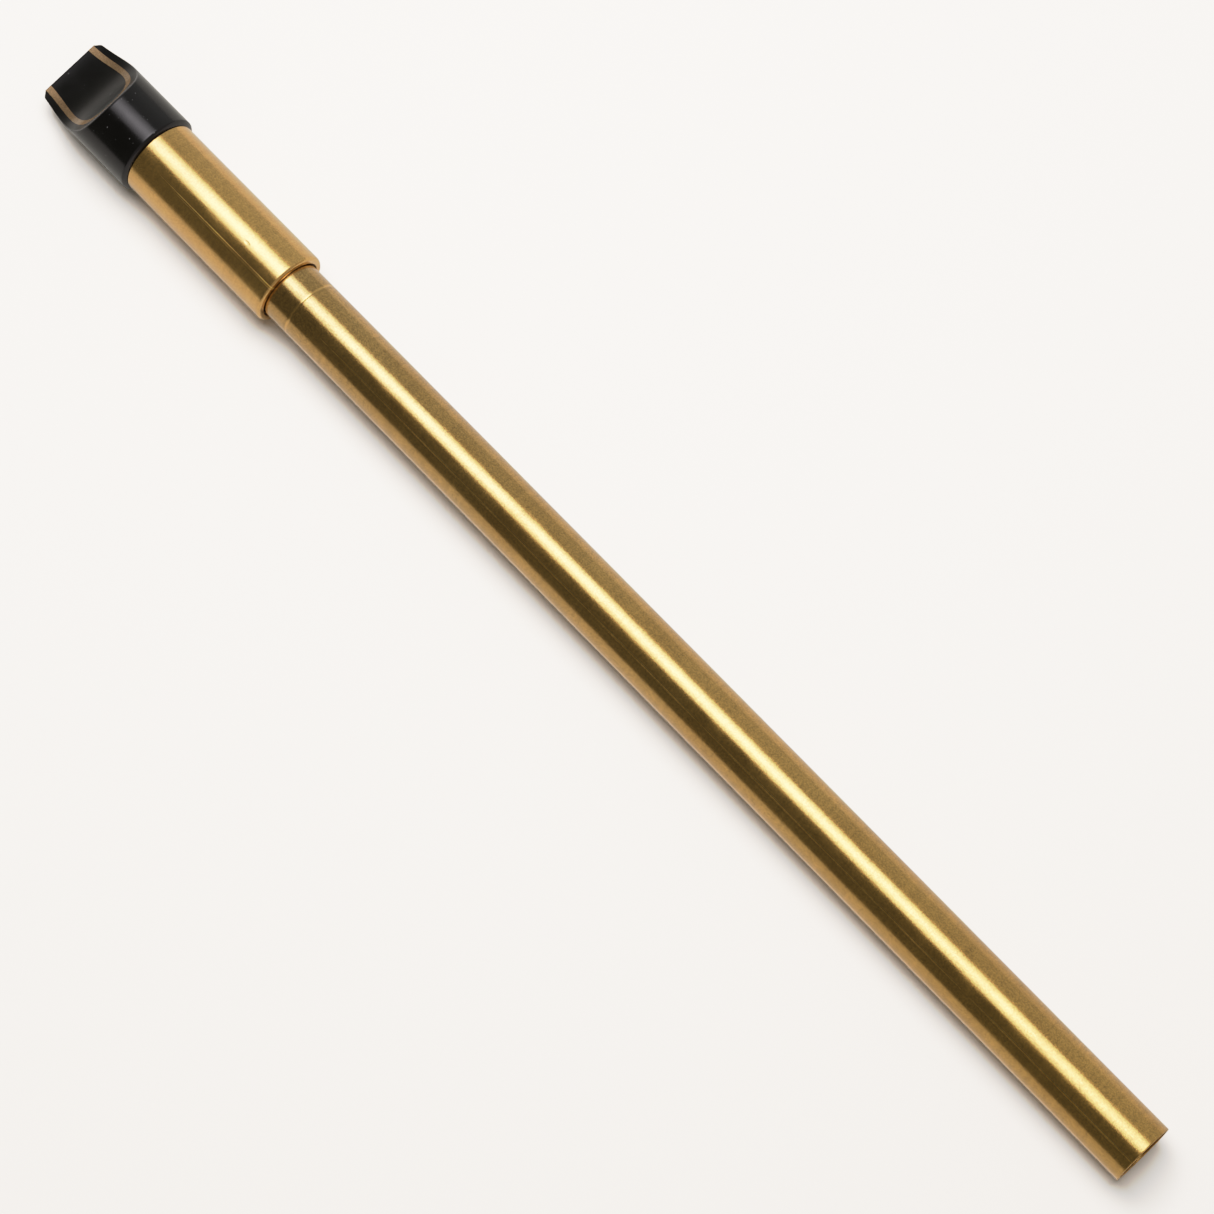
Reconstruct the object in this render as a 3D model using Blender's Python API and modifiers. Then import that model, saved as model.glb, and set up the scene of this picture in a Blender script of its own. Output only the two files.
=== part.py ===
"""Tunable tin whistle in high D: brass body, brass head with a black beaked mouthpiece.

The tubes lie along world X, mouth end at -X and foot at +X. The beak's cut faces +Z, and the window and
the six finger holes face -Z. The origin is on the surface that the whistle lies on, under its middle.
Places along the whistle are given as distances from the mouth end, in metres.
"""

import math

import bmesh
import bpy
from mathutils import Matrix, Vector

# Overall
OVERALL_LENGTH = 0.300
BORE_RADIUS = 0.00615
SEGMENTS = 64
FIT = 0.00004                      # radial clearance between nested tubes
BUTT_GAP = 0.0001                  # between faces that meet end to end

# Body tube
BODY_RADIUS = 0.00655
TUNED_PULL_OUT = 0.0058            # how far the slide is drawn at rest
RING_FROM_MOUTH = 0.0743
RING_WIDTH = 0.0005
RING_DEPTH = 0.00012
FOOT_BEVEL = 0.00005

# Head tube, the one with the beak's brass stripe
HEAD_RADIUS = 0.00735
HEAD_TUBE_END = 0.0430

# Tuning barrel
BARREL_RADIUS = 0.0082
LIP_FROM_MOUTH = 0.0686
LIP_RADIUS = 0.00703               # the rolled-in mouth of the barrel
LIP_ROUND_LENGTH = 0.0020
LIP_ROUND_DEPTH = 0.00085
LIP_HOLD = 0.0010                  # how long the rolled-in part is
LIP_STEPS = 6

# Mouthpiece sleeve
SLEEVE_RADIUS = 0.00905
SLEEVE_LENGTH = 0.0290
SLEEVE_TIP_RADIUS = 0.0085
SLEEVE_TAPER_LENGTH = 0.0125
TIP_CHAMFER = 0.00105
END_CHAMFER = 0.0004

# Beak: a drum-shaped cut across the mouth end
DRUM_RADIUS = 0.0201
DRUM_AHEAD_OF_MOUTH = 0.0009
DRUM_ABOVE_AXIS = 0.01674
DRUM_SEGMENTS = 160

# Plug and windway
PLUG_RECESS = 0.0003
WINDWAY_WIDTH = 0.0080
WINDWAY_FLOOR_RADIUS = 0.00555
WINDWAY_ROOF_RADIUS = 0.00655
WINDOW_LENGTH = 0.0045
BLADE_RADIUS = 0.0063              # height of the blade's edge above the axis
RAMP_LENGTH = 0.0085

# Finger holes, tuned from the scale of D major
SPEED_OF_SOUND = 346.5
TONIC = 587.33
HOLE_SEMITONES = (2, 4, 5, 7, 9, 11)
HOLE_DIAMETERS = (0.0058, 0.0078, 0.0054, 0.0066, 0.0068, 0.0062)
WINDOW_CORRECTION = 0.0255
HOLE_SEGMENTS = 40

# Places derived from the sizes above
MOUTH_X = -OVERALL_LENGTH / 2
FOOT_X = OVERALL_LENGTH / 2
AXIS_Z = SLEEVE_RADIUS
BODY_TOP = HEAD_TUBE_END + BUTT_GAP + 0.0001 + TUNED_PULL_OUT
LINER_START = HEAD_TUBE_END + BUTT_GAP
LINER_END = LIP_FROM_MOUTH - LIP_HOLD - BUTT_GAP
LINER_BORE_RADIUS = BODY_RADIUS + FIT
WINDOW_START = SLEEVE_LENGTH
WINDOW_END = WINDOW_START + WINDOW_LENGTH

BRASS = (0.62, 0.47, 0.22, 1.0)
BRASS_WORN = (0.66, 0.50, 0.26, 1.0)
BLACK = (0.022, 0.021, 0.022, 1.0)


def clear_scene():
    for old in list(bpy.data.objects):
        bpy.data.objects.remove(old, do_unlink=True)


def new_collection(name):
    collection = bpy.data.collections.new(name)
    bpy.context.scene.collection.children.link(collection)
    return collection


def material(name, color, metallic, roughness):
    made = bpy.data.materials.new(name)
    made.use_nodes = True
    shader = made.node_tree.nodes["Principled BSDF"]
    shader.inputs["Base Color"].default_value = color
    shader.inputs["Metallic"].default_value = metallic
    shader.inputs["Roughness"].default_value = roughness
    return made


def along(distance):
    """World x of a place given by its distance from the mouth end."""
    return MOUTH_X + distance


def turned(name, profile, collection):
    """A body turned about the whistle's axis from a closed profile of (distance from mouth, radius).

    The profile runs along the outer side from the foot end towards the mouth, then back inside.
    """
    mesh = bpy.data.meshes.new(name)
    points = [(radius, 0.0, along(distance)) for distance, radius in profile]
    count = len(points)
    mesh.from_pydata(points, [(i, (i + 1) % count) for i in range(count)], [])
    piece = bpy.data.objects.new(name, mesh)
    collection.objects.link(piece)
    piece.matrix_world = Matrix.Translation((0, 0, AXIS_Z)) @ Matrix.Rotation(math.pi / 2, 4, "Y")
    screw = piece.modifiers.new("turn", "SCREW")
    screw.steps = SEGMENTS
    screw.render_steps = SEGMENTS
    screw.use_merge_vertices = True
    screw.merge_threshold = 0.000001
    screw.use_smooth_shade = True
    return piece


def as_cutter(piece):
    piece.hide_render = True
    piece.display_type = "WIRE"
    return piece


def box_cutter(name, low, high):
    """A box between two corners: each is (distance from mouth, y, height above the axis)."""
    mesh = bpy.data.meshes.new(name)
    shape = bmesh.new()
    bmesh.ops.create_cube(shape, size=1.0)
    size = Vector(high) - Vector(low)
    centre = (Vector(low) + Vector(high)) / 2
    bmesh.ops.scale(shape, vec=size, verts=shape.verts)
    shape.to_mesh(mesh)
    shape.free()
    piece = bpy.data.objects.new(name, mesh)
    piece.location = (along(centre.x), centre.y, AXIS_Z + centre.z)
    cutters.objects.link(piece)
    return as_cutter(piece)


def round_cutter(name, radius, depth, segments, matrix):
    mesh = bpy.data.meshes.new(name)
    shape = bmesh.new()
    bmesh.ops.create_cone(shape, cap_ends=True, segments=segments, radius1=radius, radius2=radius, depth=depth)
    shape.to_mesh(mesh)
    shape.free()
    piece = bpy.data.objects.new(name, mesh)
    piece.matrix_world = matrix
    cutters.objects.link(piece)
    return as_cutter(piece)


def combine(piece, other, operation):
    boolean = piece.modifiers.new(other.name, "BOOLEAN")
    boolean.operation = operation
    boolean.object = other
    boolean.solver = "EXACT"


def cut(piece, *tools):
    for tool in tools:
        combine(piece, tool, "DIFFERENCE")


def hole_distances():
    """Finger-hole places from the mouth end, lowest hole first.

    Each hole stands where the tube would end for its note, less the window's correction and the hole's
    own correction, which depends on the spacing to the next open end.
    """
    bore = 2 * BORE_RADIUS
    wall = BODY_RADIUS - BORE_RADIUS
    foot_end = OVERALL_LENGTH + 0.6 * BORE_RADIUS
    places = []
    below = foot_end
    for semitones, diameter in zip(HOLE_SEMITONES, HOLE_DIAMETERS):
        wave = SPEED_OF_SOUND / (2 * TONIC * 2 ** (semitones / 12))
        stop = WINDOW_END + wave - WINDOW_CORRECTION
        chimney = (wall + 0.75 * diameter) * (bore / diameter) ** 2
        place = stop
        for _ in range(12):
            spacing = below - place
            place = stop - spacing / 2 * (math.sqrt(1 + 4 * chimney / spacing) - 1)
        places.append(place)
        below = place
    return places


def barrel_lip():
    """The lip's quarter-ellipse, from its end face back to the barrel's outer surface."""
    points = []
    for step in range(LIP_STEPS + 1):
        angle = math.pi / 2 * step / LIP_STEPS
        distance = LIP_FROM_MOUTH - LIP_ROUND_LENGTH * (1 - math.cos(angle))
        radius = BARREL_RADIUS - LIP_ROUND_DEPTH * (1 - math.sin(angle))
        points.append((distance, radius))
    return points


def windway_box(name, start, end):
    half = WINDWAY_WIDTH / 2
    return box_cutter(name, (start, -half, -2 * SLEEVE_RADIUS), (end, half, -BORE_RADIUS / 2))


def channel_cutter(name, start, end, inner, outer):
    """A curved slot as wide as the windway, between two radii, on the window's side."""
    channel = turned(name, [(end, outer), (start, outer), (start, inner), (end, inner)], cutters)
    combine(channel, windway_box(name + "_sides", start - 0.001, end + 0.001), "INTERSECT")
    return as_cutter(channel)


def ramp_cutter(name):
    """The ramp that thins the wall down to the blade: a cone of rising radius, as wide as the window."""
    start = WINDOW_END - 0.0002
    end = WINDOW_END + RAMP_LENGTH
    outside = 1.5 * BARREL_RADIUS
    rise = (BARREL_RADIUS + 0.0001 - BLADE_RADIUS) / RAMP_LENGTH
    inner_start = BLADE_RADIUS - 0.0002 * rise
    inner_end = BLADE_RADIUS + RAMP_LENGTH * rise
    ramp = turned(name, [(end, outside), (start, outside), (start, inner_start), (end, inner_end)], cutters)
    combine(ramp, windway_box(name + "_sides", start - 0.001, end + 0.001), "INTERSECT")
    return as_cutter(ramp)


def drum_cutter():
    centre = Matrix.Translation((along(-DRUM_AHEAD_OF_MOUTH), 0, AXIS_Z + DRUM_ABOVE_AXIS))
    across = Matrix.Rotation(math.pi / 2, 4, "X")
    return round_cutter("drum_cutter", DRUM_RADIUS, 4 * SLEEVE_RADIUS, DRUM_SEGMENTS, centre @ across)


def make_body_tube():
    ring = RING_FROM_MOUTH
    profile = [
        (OVERALL_LENGTH, BODY_RADIUS - FOOT_BEVEL),
        (OVERALL_LENGTH - FOOT_BEVEL, BODY_RADIUS),
        (ring + RING_WIDTH / 2, BODY_RADIUS),
        (ring, BODY_RADIUS - RING_DEPTH),
        (ring - RING_WIDTH / 2, BODY_RADIUS),
        (BODY_TOP, BODY_RADIUS),
        (BODY_TOP, BORE_RADIUS),
        (OVERALL_LENGTH, BORE_RADIUS),
    ]
    body = turned("body_tube", profile, parts)
    for number, (distance, diameter) in enumerate(zip(hole_distances(), HOLE_DIAMETERS), start=1):
        spot = Matrix.Translation((along(distance), 0, AXIS_Z - BODY_RADIUS))
        drill = round_cutter(f"hole_cutter_{number}", diameter / 2, BODY_RADIUS, HOLE_SEGMENTS, spot)
        cut(body, drill)
    return body


def make_barrel():
    inside = HEAD_RADIUS + FIT
    start = SLEEVE_LENGTH + BUTT_GAP
    lip_back = LIP_FROM_MOUTH - LIP_HOLD
    profile = barrel_lip() + [
        (start, BARREL_RADIUS),
        (start, inside),
        (lip_back, inside),
        (lip_back, LIP_RADIUS),
        (LIP_FROM_MOUTH - 0.0003, LIP_RADIUS),
    ]
    return turned("tuning_barrel", profile, parts)


def make_liner():
    outer = HEAD_RADIUS
    profile = [
        (LINER_END, outer),
        (LINER_START, outer),
        (LINER_START, LINER_BORE_RADIUS),
        (LINER_END, LINER_BORE_RADIUS),
    ]
    return turned("socket_liner", profile, parts)


def make_head_tube():
    profile = [
        (HEAD_TUBE_END, HEAD_RADIUS),
        (0.0, HEAD_RADIUS),
        (0.0, BORE_RADIUS),
        (HEAD_TUBE_END, BORE_RADIUS),
    ]
    return turned("head_tube", profile, parts)


def make_sleeve():
    inside = HEAD_RADIUS + FIT
    profile = [
        (SLEEVE_LENGTH, SLEEVE_RADIUS - END_CHAMFER),
        (SLEEVE_LENGTH - END_CHAMFER, SLEEVE_RADIUS),
        (SLEEVE_TAPER_LENGTH, SLEEVE_RADIUS),
        (TIP_CHAMFER, SLEEVE_TIP_RADIUS),
        (0.0, SLEEVE_TIP_RADIUS - TIP_CHAMFER + FIT),
        (0.0, inside),
        (SLEEVE_LENGTH, inside),
    ]
    return turned("mouthpiece_sleeve", profile, parts)


def make_plug():
    """The fipple plug: a solid rod with the windway's floor cut along its underside."""
    length = WINDOW_START - PLUG_RECESS
    middle = along(PLUG_RECESS + length / 2)
    mesh = bpy.data.meshes.new("fipple_plug")
    shape = bmesh.new()
    radius = BORE_RADIUS - FIT
    bmesh.ops.create_cone(shape, cap_ends=True, segments=SEGMENTS, radius1=radius, radius2=radius, depth=length)
    shape.to_mesh(mesh)
    shape.free()
    plug = bpy.data.objects.new("fipple_plug", mesh)
    plug.matrix_world = Matrix.Translation((middle, 0, AXIS_Z)) @ Matrix.Rotation(math.pi / 2, 4, "Y")
    parts.objects.link(plug)
    floor = channel_cutter("windway_floor_cutter", -0.001, WINDOW_START + 0.001,
                           WINDWAY_FLOOR_RADIUS, 1.2 * BORE_RADIUS)
    cut(plug, floor)
    return plug


def shade(piece, finish, parent):
    piece.data.materials.append(finish)
    piece.data.shade_smooth()
    piece.data.set_sharp_from_angle(angle=math.radians(35))
    if parent is not None:
        world = piece.matrix_world.copy()
        piece.parent = parent
        piece.matrix_parent_inverse = parent.matrix_world.inverted()
        piece.matrix_world = world


def joint_empty(name, parent):
    empty = bpy.data.objects.new(name, None)
    empty.empty_display_size = 0.02
    empty.location = (along(LIP_FROM_MOUTH), 0, AXIS_Z) if parent is None else (0, 0, 0)
    empty.parent = parent
    parts.objects.link(empty)
    return empty


clear_scene()
parts = new_collection("tin_whistle")
cutters = new_collection("cutters")

brass = material("brass", BRASS, 1.0, 0.32)
worn_brass = material("brass_head", BRASS_WORN, 1.0, 0.36)
black_plastic = material("black_plastic", BLACK, 0.0, 0.42)

body_tube = make_body_tube()
barrel = make_barrel()
liner = make_liner()
head_tube = make_head_tube()
sleeve = make_sleeve()
plug = make_plug()

drum = drum_cutter()
window = windway_box("window_cutter", WINDOW_START, WINDOW_END)
ramp = ramp_cutter("ramp_cutter")
roof = channel_cutter("windway_roof_cutter", -0.001, WINDOW_START + 0.001,
                      WINDWAY_FLOOR_RADIUS, WINDWAY_ROOF_RADIUS)
cut(head_tube, drum, roof, window, ramp)
cut(barrel, window, ramp)
cut(sleeve, drum)
cut(plug, drum)

bpy.context.view_layer.update()
turning = joint_empty("turning_axis", None)
bpy.context.view_layer.update()
sliding = joint_empty("sliding_axis", turning)
bpy.context.view_layer.update()
shade(head_tube, worn_brass, None)
shade(barrel, worn_brass, None)
shade(sleeve, black_plastic, None)
shade(plug, black_plastic, None)
shade(liner, brass, turning)
shade(body_tube, brass, sliding)
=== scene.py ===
"""The looks of the tunable tin whistle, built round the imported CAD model.

Lengths are metres. Every tube is turned about the whistle's axis, which runs along X at the height AXIS_Z.
A place along it is given as its distance from the mouth end, and a height is measured from the axis.
The beak's hollow is on top. The window and the finger holes are underneath.
"""

import math

import bmesh
import bpy
import numpy as np
from mathutils import Matrix, Vector


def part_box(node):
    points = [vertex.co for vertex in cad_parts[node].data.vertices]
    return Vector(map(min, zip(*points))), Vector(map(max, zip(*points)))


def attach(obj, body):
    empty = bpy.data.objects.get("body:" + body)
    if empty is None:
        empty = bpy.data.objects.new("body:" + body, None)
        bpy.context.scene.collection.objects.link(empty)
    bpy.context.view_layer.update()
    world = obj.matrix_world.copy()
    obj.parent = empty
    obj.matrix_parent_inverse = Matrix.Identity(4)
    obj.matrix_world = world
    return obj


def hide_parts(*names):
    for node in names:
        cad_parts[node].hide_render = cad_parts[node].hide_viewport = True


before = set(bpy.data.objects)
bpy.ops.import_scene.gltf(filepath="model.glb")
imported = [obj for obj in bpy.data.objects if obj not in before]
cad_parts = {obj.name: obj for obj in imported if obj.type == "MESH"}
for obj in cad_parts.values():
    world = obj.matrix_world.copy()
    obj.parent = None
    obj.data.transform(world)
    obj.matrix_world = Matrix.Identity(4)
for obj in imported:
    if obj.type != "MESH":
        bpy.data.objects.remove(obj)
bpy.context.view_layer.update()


def half_width(node):
    low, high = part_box(node)
    return (high.y - low.y) / 2


def span(node):
    """Where a piece of the CAD model starts and ends, from the mouth end."""
    low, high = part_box(node)
    return low.x - MOUTH_X, high.x - MOUTH_X


# Sizes read from the CAD model
sleeve_low, sleeve_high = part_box("mouthpiece_sleeve")
MOUTH_X = sleeve_low.x
AXIS_Z = (sleeve_low.z + sleeve_high.z) / 2
SLEEVE_LENGTH = sleeve_high.x - MOUTH_X
SLEEVE_RADIUS = half_width("mouthpiece_sleeve")
BARREL_RADIUS = half_width("tuning_barrel")
HEAD_RADIUS = half_width("head_tube")
BODY_RADIUS = half_width("body_tube")
LINER_RADIUS = half_width("socket_liner")
BARREL_START, barrel_end = span("tuning_barrel")
HEAD_END = span("head_tube")[1]
LINER_START, LINER_END = span("socket_liner")
BODY_START, FOOT_END = span("body_tube")

# Gaps and cutters
SEAT_GAP = 0.00001                 # hairline between pressed pieces
SLIDE_GAP = 0.00002                # between the liner and the body tube
OVERCUT = 0.001                    # how far a cutter reaches past what it cuts
AROUND = 256                       # faces around each tube
HOLE_AROUND = 72                   # faces around each finger hole
DRUM_AROUND = 720                  # faces around the cutter that makes the beak's hollow

# The mouthpiece sleeve and the beak's hollow
BORE_RADIUS = 0.00615
SLEEVE_SET_BACK = 0.0001           # how much nearer the mouth its rear edge is than in the CAD model
SLEEVE_END = SLEEVE_LENGTH - SLEEVE_SET_BACK
SLEEVE_TIP_RADIUS = 0.0085
SLEEVE_TAPER_LENGTH = 0.0125
TIP_CHAMFER = 0.00105
DRUM_RADIUS = 0.0201
DRUM_AHEAD = 0.0009                # how far the drum's axis lies in front of the mouth end
DRUM_HEIGHT = 0.01674
END_CHAMFER_LENGTH = 0.00065       # the sleeve's rear edge, bevelled down to the barrel
END_CHAMFER_DEPTH = 0.00080
END_CHAMFER_ROOM = 0.0012          # what the bevel and its rounding take of the sleeve's length
BEAK_EASE = 0.00030                # how far the beak's outer edge is rubbed round
BEAK_EASE_SHARE = 0.8              # the most of a narrow edge that this may take
SECTIONS_PER_SIDE = 96             # lengthwise sections of the sleeve, from the top to the cut's end
FACE_STEPS = 8                     # steps across the cut or the end face
EASE_STEPS = 4                     # steps over its rubbed edge
EDGE_HALVINGS = 50                 # how often the search for the cut's edge halves its range
OUTSIDE_STEPS = 12                 # steps along the outside
OUTSIDE_CROWDING = 1.5             # how much closer these steps are near the beak

# How the bevel's edge is rounded: distance past that edge, and how much lower it is than a sharp one
END_CHAMFER_ROUND = ((-0.00020, 0.0), (-0.00004, 0.00001), (0.00003, 0.00002), (0.00012, 0.0))

# The barrel's lip, rounded outside and closed in round the body tube
LIP_SET_BACK = 0.0005              # how much nearer the mouth it ends than in the CAD model
LIP_END = barrel_end - LIP_SET_BACK
LIP_RADIUS = 0.00681
LIP_ROUND_LENGTH = 0.0008
LIP_ROUND_DEPTH = 0.0006
LIP_INNER_ROUND = 0.00015
LIP_HOLD = 0.0010                  # how far back from its end the lip is closed in
BARREL_HOLD = 0.0003               # plain tube kept before the lip's rounding
LINER_EDGE = 0.0001

# The body tube's scribed ring and foot
RING_FROM_MOUTH = 0.0741
RING_WIDTH = 0.0005
RING_DEPTH = 0.00003
RING_STEPS = 8
FOOT_EDGE = 0.00010
BODY_HOLD = 0.0002                 # plain tube kept beside the ring and the foot's edge

# The windway, the window and its blade
WINDWAY_WIDTH = 0.0080
WINDWAY_FLOOR_RADIUS = 0.00555
WINDWAY_ROOF_RADIUS = 0.00655
WINDOW_LENGTH = 0.0045
WINDOW_START = SLEEVE_LENGTH
WINDOW_END = WINDOW_START + WINDOW_LENGTH
BLADE_RADIUS = 0.0063
RAMP_LENGTH = 0.0085
RAMP_START = 0.0002                # how far before the blade's edge the ramp's cutter begins
RAMP_RISE = 0.0001                 # how far above the barrel it ends

# The finger holes
SPEED_OF_SOUND = 346.5
TONIC = 587.33
HOLE_SEMITONES = (2, 4, 5, 7, 9, 11)
HOLE_DIAMETERS = (0.0058, 0.0078, 0.0054, 0.0066, 0.0068, 0.0062)
WINDOW_CORRECTION = 0.0255
FOOT_CORRECTION = 0.6              # times the bore's radius
HOLE_CORRECTION = 0.75             # times the hole's diameter
HOLE_ROUNDS = 12                   # times that each place is worked out again
HOLE_EASE = 0.00012
HOLE_EASE_ANGLES = (math.radians(20), math.radians(40), math.radians(60))

# Angles between faces from which an edge is shown sharp
TUBE_SHARP_ANGLE = 32
SLEEVE_SHARP_ANGLE = 40

# Draw lines, rougher and painted lighter as a painted highlight for the light they catch: angle from the top
# towards -Y, how much lighter, width, and where along the whistle each begins and is full
DRAW_WANDER = 0.00006
BODY_DRAW_LINES_AND_GLINTS = ((math.radians(25.4), 0.45, 0.00020, 0.078, 0.095),)
HEAD_DRAW_LINES_AND_GLINTS = ((math.radians(20.3), 2.4, 0.00011, 0.034, 0.052),
                   (math.radians(23.0), 0.8, 0.00013, 0.036, 0.054))

# The one dent, in the top of the barrel
DENT_FROM_MOUTH = 0.0581
DENT_ASIDE = -0.00004
DENT_HALF_LENGTH = 0.00080
DENT_HALF_WIDTH = 0.00038
DENT_DEPTH = 0.000032

# Brass: its tone by the mouth and by the foot, and where it turns from one to the other
BODY_TONES = ((0.62, 0.380, 0.131), (0.63, 0.368, 0.102))
HEAD_TONES = ((0.84, 0.505, 0.162), (0.84, 0.505, 0.162))
CUT_TONES = ((0.50, 0.33, 0.19), (0.50, 0.33, 0.19))
TONE_START = 0.07
TONE_END = 0.28
PATCH_TINT = (0.86, 0.82, 0.82)
BRASS_TINT = (0.95, 0.93, 0.91)    # of the reflection at a grazing angle
LACQUER = 0.7                      # weight of the clear coat
LACQUER_ROUGHNESS = 0.15
PAINTED_LIGHTER_START = 0.08               # painted reflection: from here the brass is painted lighter, for the brighter surroundings reflected away from the mouth
PAINTED_LIGHTER_END = 0.19
PAINTED_LIGHTER_BY = 0.10
CLOUD_SHARE = 0.18                 # strength of the soft clouds, as a share of the mottle
BAND_SHARE = 0.3                   # the same for the bands round the tube
GRIT_DEPTH = 0.00003
TURNING_DEPTH = 0.00002
FOOT_DULL = (0.00018, 0.00010)     # how far from the foot its duller edge begins, and is full
FOOT_DULLNESS = 0.30
BEFORE_RING_SHADE = 0.92           # the body tube between lip and ring
BEFORE_RING_FADE = 0.0002
# Painted highlight on the scribed ring: how much lighter its colour is painted
RING_PAINTED_SHINE = 0.42
RING_PAINTED_SHINE_FADE = (0.00012, 0.00034)    # how far from the ring's middle this begins to fade, and is gone
LIP_PAINTED_SHADE = 0.30                   # painted shade inside the lip, where little light gets in
LIP_PAINTED_SHADE_FADE = (0.00003, 0.00010)     # how far outside LIP_RADIUS this begins to fade, and is gone

# Black plastic
PLASTIC_DARK = (0.0004, 0.0004, 0.0004)
PLASTIC_BLOOM = (0.0012, 0.0011, 0.0011)
DUST = (0.10, 0.10, 0.10)
# Painted highlight along the beak's edge at the shoulder
PAINTED_EDGE_HIGHLIGHT = (0.050, 0.047, 0.046)
PLASTIC_TINT = (1.0, 0.94, 0.985)
PLASTIC_RELIEF = 0.00001
CUT_DULLNESS = 0.13                # how much rougher the milled hollow is
CUT_FADE = (0.00003, 0.00010)      # how far from the cut its dullness begins to fade, and is gone
EDGE_HIGHLIGHT_FADE = (0.00006, 0.00026)     # the same for the painted highlight along its edge
EDGE_HIGHLIGHT_DEPTH = (0.00032, 0.00014)    # how far below the sleeve's outside the painted highlight begins, and is full

# Camera: where it stands, seen from the point it looks at
CAMERA_DISTANCE = 0.6805
CAMERA_TOWARDS_FOOT = math.radians(14.0)
CAMERA_ROLL_SIDE = math.radians(3.7)
SENSOR_WIDTH = 36.0
PICTURE_SIDE = 1214
FOCAL_IN_PICTURE_WIDTHS = 3600 / PICTURE_SIDE
CLIP_NEAR = 0.05
CLIP_FAR = 30.0
AXIS_SLOPE = math.radians(45.39)   # of the whistle in the picture
AIM_FROM_MOUTH = 0.1582
AIM_ASIDE = 0.00057

# The table
FLOOR_SIDE = 8.0
FLOOR_FACES = 8
FLOOR_ROLL = math.radians(6.0)     # it drops this much towards +Y
FLOOR_TOUCH = SLEEVE_LENGTH - 0.0006    # it carries the sleeve by its rear edge
FLOOR_SEEN = (0.93, 0.86, 0.80)
FLOOR_MOTTLE = 0.985
FLOOR_REFLECTED = (0.370, 0.354, 0.322)
FLOOR_GLOW = 2.30                  # painted light: how much brighter the table close beside the whistle, on its -Y side, is reflected
FLOOR_GLOW_START = 0.0045
FLOOR_GLOW_END = 0.012

# Light: a softbox over the mouth half, and a fill from the same place that gives no highlights
SOFTBOX_ANGLE = math.radians(15.8)      # from straight up towards +Y
SOFTBOX_DISTANCE = 0.85
SOFTBOX_X = -0.18
SOFTBOX_LENGTH = 0.76
SOFTBOX_WIDTH = 0.665
SOFTBOX_RADIANCE = 5.3
SOFTBOX_HALF = 0.210                    # how far from its brightest spot it has faded to half
SOFTBOX_BRIGHTEST = -0.07               # where along X that spot is, from the light's middle
SOFTBOX_STRETCH = 0.34                  # how much slower it fades along X
FILL_RADIANCE = 12.0

# The room that the whistle reflects: its colour from overhead and all of -Y (0.5) to straight across +Y (1.0)
ROOM_COLOURS = ((0.5, (0.108, 0.106, 0.081, 1)),
                (0.80, (0.355, 0.365, 0.335, 1)),
                (1.0, (0.48, 0.49, 0.455, 1)))
ROOM_FOOT_SIDE = (0.38, 0.36, 0.33, 1)
ROOM_FOOT_FADE = (0.15, 0.50)           # how far towards +X this colour begins, and is full
PAPER = (1.45, 1.40, 1.36, 1)           # what the camera sees instead of the room

# How the film takes the light: the brightest it takes, and (light, tone) along its curve
FILM_WHITE = 3.5
FILM_CURVE = ((0.30, 0.285), (0.42, 0.40), (0.62, 0.59), (0.9, 0.705),
              (1.25, 0.83), (1.7, 0.925), (2.4, 0.98))


# ---------------------------------------------------------------- mesh helpers

def spot(distance, y, height):
    return (MOUTH_X + distance, y, AXIS_Z + height)


def new_object(name, data):
    made = bpy.data.objects.new(name, data)
    bpy.context.scene.collection.objects.link(made)
    return made


def from_bmesh(name, shape):
    """Turns a bmesh into an object, and frees it."""
    mesh = bpy.data.meshes.new(name)
    shape.to_mesh(mesh)
    shape.free()
    return new_object(name, mesh)


def clean(mesh, merge=1e-7):
    """Welds points that fall together and turns the faces outwards."""
    shape = bmesh.new()
    shape.from_mesh(mesh)
    bmesh.ops.remove_doubles(shape, verts=shape.verts, dist=merge)
    bmesh.ops.dissolve_degenerate(shape, edges=shape.edges, dist=merge)
    bmesh.ops.recalc_face_normals(shape, faces=shape.faces)
    if shape.calc_volume(signed=True) < 0:
        bmesh.ops.reverse_faces(shape, faces=shape.faces)
    shape.to_mesh(mesh)
    shape.free()


def ring_grid(name, sections):
    """A closed skin through closed sections, where the last section joins the first again."""
    sections = np.asarray(sections, float)
    turns, count = sections.shape[:2]
    faces = []
    for i in range(turns):
        j = (i + 1) % turns
        for k in range(count):
            m = (k + 1) % count
            faces.append((i * count + k, i * count + m, j * count + m, j * count + k))
    mesh = bpy.data.meshes.new(name)
    mesh.from_pydata(sections.reshape(-1, 3).tolist(), [], faces)
    clean(mesh)
    return new_object(name, mesh)


def turned(name, profile, shift=0.0):
    """A ring-shaped body from its closed profile of (distance, radius).

    shift turns it by a share of one face, so that its corners don't meet those of the tube that it cuts.
    """
    sections = []
    for i in range(AROUND):
        angle = 2 * math.pi * (i + shift) / AROUND
        sections.append([spot(d, r * math.sin(angle), r * math.cos(angle)) for d, r in profile])
    return ring_grid(name, sections)


def cylinder(name, middle, turn, radius, length, around):
    """A solid round bar about a middle, turned by a matrix from lying along Z."""
    shape = bmesh.new()
    bmesh.ops.create_cone(shape, cap_ends=True, segments=around, radius1=radius, radius2=radius,
                          depth=length, matrix=Matrix.Translation(middle) @ turn)
    return from_bmesh(name, shape)


def block(name, low, high):
    """A box between two corners, each (distance, y, height)."""
    shape = bmesh.new()
    low, high = Vector(spot(*low)), Vector(spot(*high))
    bmesh.ops.create_cube(shape, size=1.0)
    bmesh.ops.scale(shape, vec=high - low, verts=shape.verts)
    bmesh.ops.translate(shape, vec=(low + high) / 2, verts=shape.verts)
    return from_bmesh(name, shape)


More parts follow.
